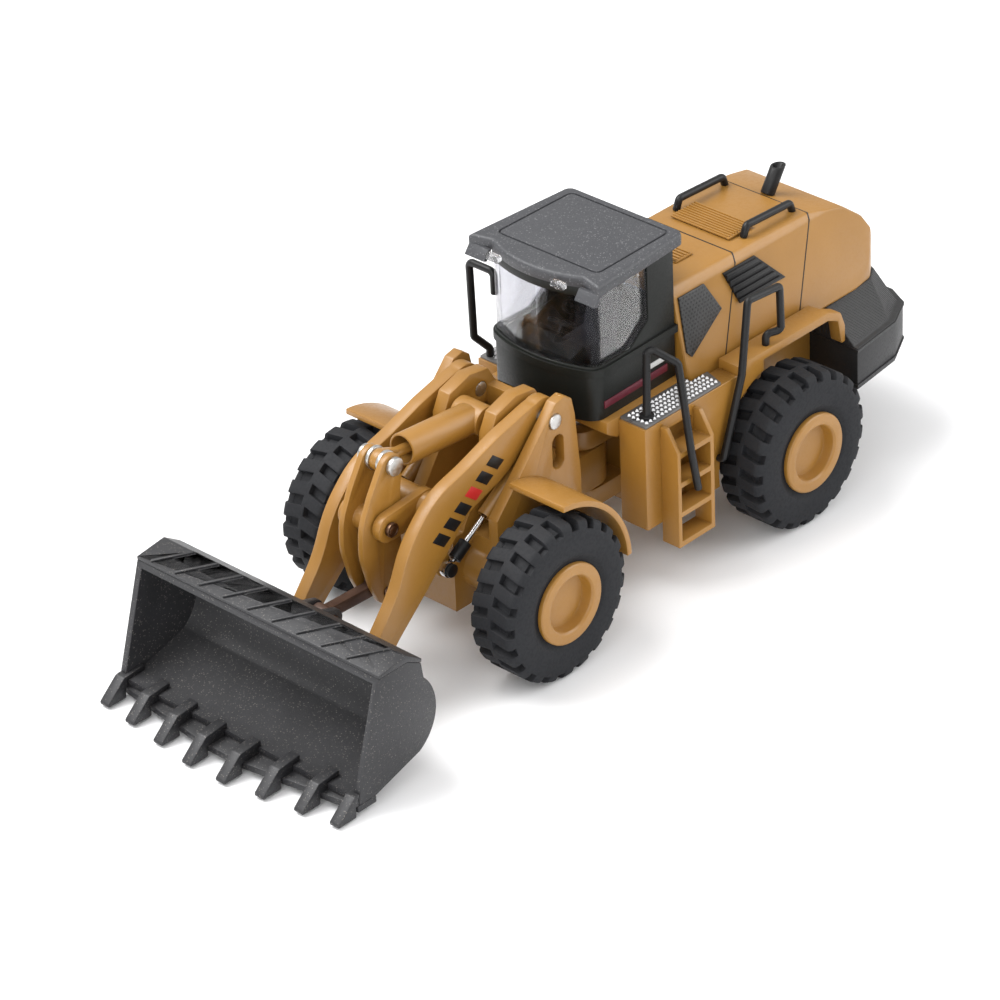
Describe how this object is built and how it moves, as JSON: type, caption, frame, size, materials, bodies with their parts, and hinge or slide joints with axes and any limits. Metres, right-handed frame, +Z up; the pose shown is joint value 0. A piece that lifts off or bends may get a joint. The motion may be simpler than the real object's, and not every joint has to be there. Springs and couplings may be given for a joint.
{
  "type": "toy wheel loader",
  "caption": "Toy articulated wheel loader with hinged frame, lifting arms and tilting bucket, closed cab, treaded tyres and black handrails.",
  "frame": {"origin": "on the ground, under the middle of the whole model", "axes": "+X forward to the bucket, +Y to the driver's left, +Z up"},
  "size_m": [0.1885, 0.0654, 0.0706],
  "materials": {
    "body_paint": "satin mustard orange enamel",
    "bucket_paint": "dark graphite with a fine metallic speckle",
    "tyre_rubber": "matt moulded rubber",
    "black_plastic": "satin black",
    "roof_plastic": "fine-grained dark grey",
    "seat_plastic": "matt",
    "window_glass": "clear, faintly smoky",
    "lamp_lens": "clear",
    "checker_plate": "silvered with raised studs",
    "steel_pin": "bright",
    "chrome_rod": "polished",
    "dark_steel": "dark, worn",
    "link_brown": "dark brown"
  },
  "bodies": {
    "rear_frame": {"rear_chassis": "body_paint", "chassis_screws": "steel_pin", "hitch_pin": "steel_pin", "counterweight": "black_plastic", "engine_hood": "body_paint", "hood_louvres": "body_paint", "hood_rails": "black_plastic", "exhaust_stack": "black_plastic", "side_vents": "black_plastic", "side_grilles": "black_plastic", "rear_fenders": "body_paint", "side_tanks": "body_paint", "ladders": "body_paint", "cab_platform": "body_paint", "tread_plates": "checker_plate", "cab_base": "black_plastic", "cab_frame": "black_plastic", "cab_windows": "window_glass", "cab_roof": "roof_plastic", "roof_lamps": "lamp_lens", "driver_seat": "seat_plastic", "dashboard": "black_plastic", "rear_step_rails": "black_plastic", "front_step_rail": "black_plastic", "mirror_bar": "black_plastic"},
    "rear_wheels": {"rear_axle": "steel_pin", "rear_left_rim": "body_paint", "rear_right_rim": "body_paint", "rear_left_tyre": "tyre_rubber", "rear_right_tyre": "tyre_rubber"},
    "front_frame": {"front_chassis": "body_paint", "front_fenders": "body_paint", "arm_pivot_pins": "steel_pin", "cylinder_base_pins": "steel_pin"},
    "front_wheels": {"front_axle": "steel_pin", "front_left_rim": "body_paint", "front_right_rim": "body_paint", "front_left_tyre": "tyre_rubber", "front_right_tyre": "tyre_rubber"},
    "lift_arms": {"lift_arm_left": "body_paint", "lift_arm_right": "body_paint", "arm_cross_tube": "body_paint", "crank_pin": "steel_pin", "rod_eye_pins": "steel_pin"},
    "bucket": {"bucket_shell": "bucket_paint", "cutting_edge": "bucket_paint", "bucket_teeth": "bucket_paint", "spill_guard": "bucket_paint", "bucket_pins": "steel_pin"},
    "bell_crank": {"bell_crank": "body_paint", "crank_foot_pins": "steel_pin"},
    "bucket_link": {"bucket_link": "link_brown"},
    "tilt_pin": {"tilt_eye_pin": "steel_pin"},
    "tilt_rod": {"tilt_rod": "body_paint"},
    "tilt_barrel": {"tilt_barrel": "body_paint"},
    "lift_barrel_left": {"lift_barrel_left": "dark_steel"},
    "lift_barrel_right": {"lift_barrel_right": "dark_steel"},
    "lift_rod_left": {"lift_rod_left": "chrome_rod"},
    "lift_rod_right": {"lift_rod_right": "chrome_rod"}
  },
  "joints": [
    {"name": "articulation", "type": "hinge", "parent": "rear_frame", "child": "front_frame", "pos_m": [-0.01225, 0, 0.021], "axis": [0, 0, 1], "range_deg": [-30, 30]},
    {"name": "rear_wheel_spin", "type": "hinge", "parent": "rear_frame", "child": "rear_wheels", "pos_m": [-0.04875, 0, 0.017], "axis": [0, 1, 0], "continuous": true},
    {"name": "front_wheel_spin", "type": "hinge", "parent": "front_frame", "child": "front_wheels", "pos_m": [0.02425, 0, 0.017], "axis": [0, 1, 0], "continuous": true},
    {"name": "arm_lift", "type": "hinge", "parent": "front_frame", "child": "lift_arms", "pos_m": [0.00925, 0, 0.0448], "axis": [0, -1, 0], "range_deg": [0, 45]},
    {"name": "bucket_tilt", "type": "hinge", "parent": "lift_arms", "child": "bucket", "pos_m": [0.05925, 0, 0.009], "axis": [0, -1, 0], "range_deg": [-20, 30]},
    {"name": "crank_swing", "type": "hinge", "parent": "lift_arms", "child": "bell_crank", "pos_m": [0.04645, 0, 0.0345], "axis": [0, -1, 0], "range_deg": [-22, 15]},
    {"name": "link_swing", "type": "hinge", "parent": "bucket", "child": "bucket_link", "pos_m": [0.06045, 0, 0.0196], "axis": [0, -1, 0], "range_deg": [-33, 23]},
    {"name": "tilt_pin_swing", "type": "hinge", "parent": "bell_crank", "child": "tilt_pin", "pos_m": [0.04255, 0, 0.046], "axis": [0, -1, 0], "range_deg": [-15, 22]},
    {"name": "tilt_rod_swing", "type": "hinge", "parent": "tilt_pin", "child": "tilt_rod", "pos_m": [0.04255, 0, 0.046], "axis": [0, -1, 0], "range_deg": [-1, 10]},
    {"name": "tilt_barrel_swing", "type": "hinge", "parent": "front_frame", "child": "tilt_barrel", "pos_m": [0.01655, 0, 0.0438], "axis": [0, -1, 0], "range_deg": [-1, 55]},
    {"name": "lift_barrel_left_swing", "type": "hinge", "parent": "front_frame", "child": "lift_barrel_left", "pos_m": [0.01075, 0.0105, 0.0386], "axis": [0, -1, 0], "range_deg": [-1, 50]},
    {"name": "lift_rod_left_swing", "type": "hinge", "parent": "lift_arms", "child": "lift_rod_left", "pos_m": [0.03635, 0.0105, 0.0225], "axis": [0, -1, 0], "range_deg": [-1, 5]},
    {"name": "lift_barrel_right_swing", "type": "hinge", "parent": "front_frame", "child": "lift_barrel_right", "pos_m": [0.01075, -0.0105, 0.0386], "axis": [0, -1, 0], "range_deg": [-1, 50]},
    {"name": "lift_rod_right_swing", "type": "hinge", "parent": "lift_arms", "child": "lift_rod_right", "pos_m": [0.03635, -0.0105, 0.0225], "axis": [0, -1, 0], "range_deg": [-1, 5]}
  ],
  "couplings": [
    {"joint": "crank_swing", "follows": "bucket_tilt", "ratio": -0.685},
    {"joint": "link_swing", "follows": "bucket_tilt", "ratio": -1.06},
    {"joint": "tilt_pin_swing", "follows": "bucket_tilt", "ratio": 0.685},
    {"joint": "tilt_rod_swing", "follows": "arm_lift", "ratio": 0.19},
    {"joint": "tilt_barrel_swing", "follows": "arm_lift", "ratio": 1.19},
    {"joint": "lift_barrel_left_swing", "follows": "arm_lift", "ratio": 1.08},
    {"joint": "lift_rod_left_swing", "follows": "arm_lift", "ratio": 0.08},
    {"joint": "lift_barrel_right_swing", "follows": "arm_lift", "ratio": 1.08},
    {"joint": "lift_rod_right_swing", "follows": "arm_lift", "ratio": 0.08}
  ]
}
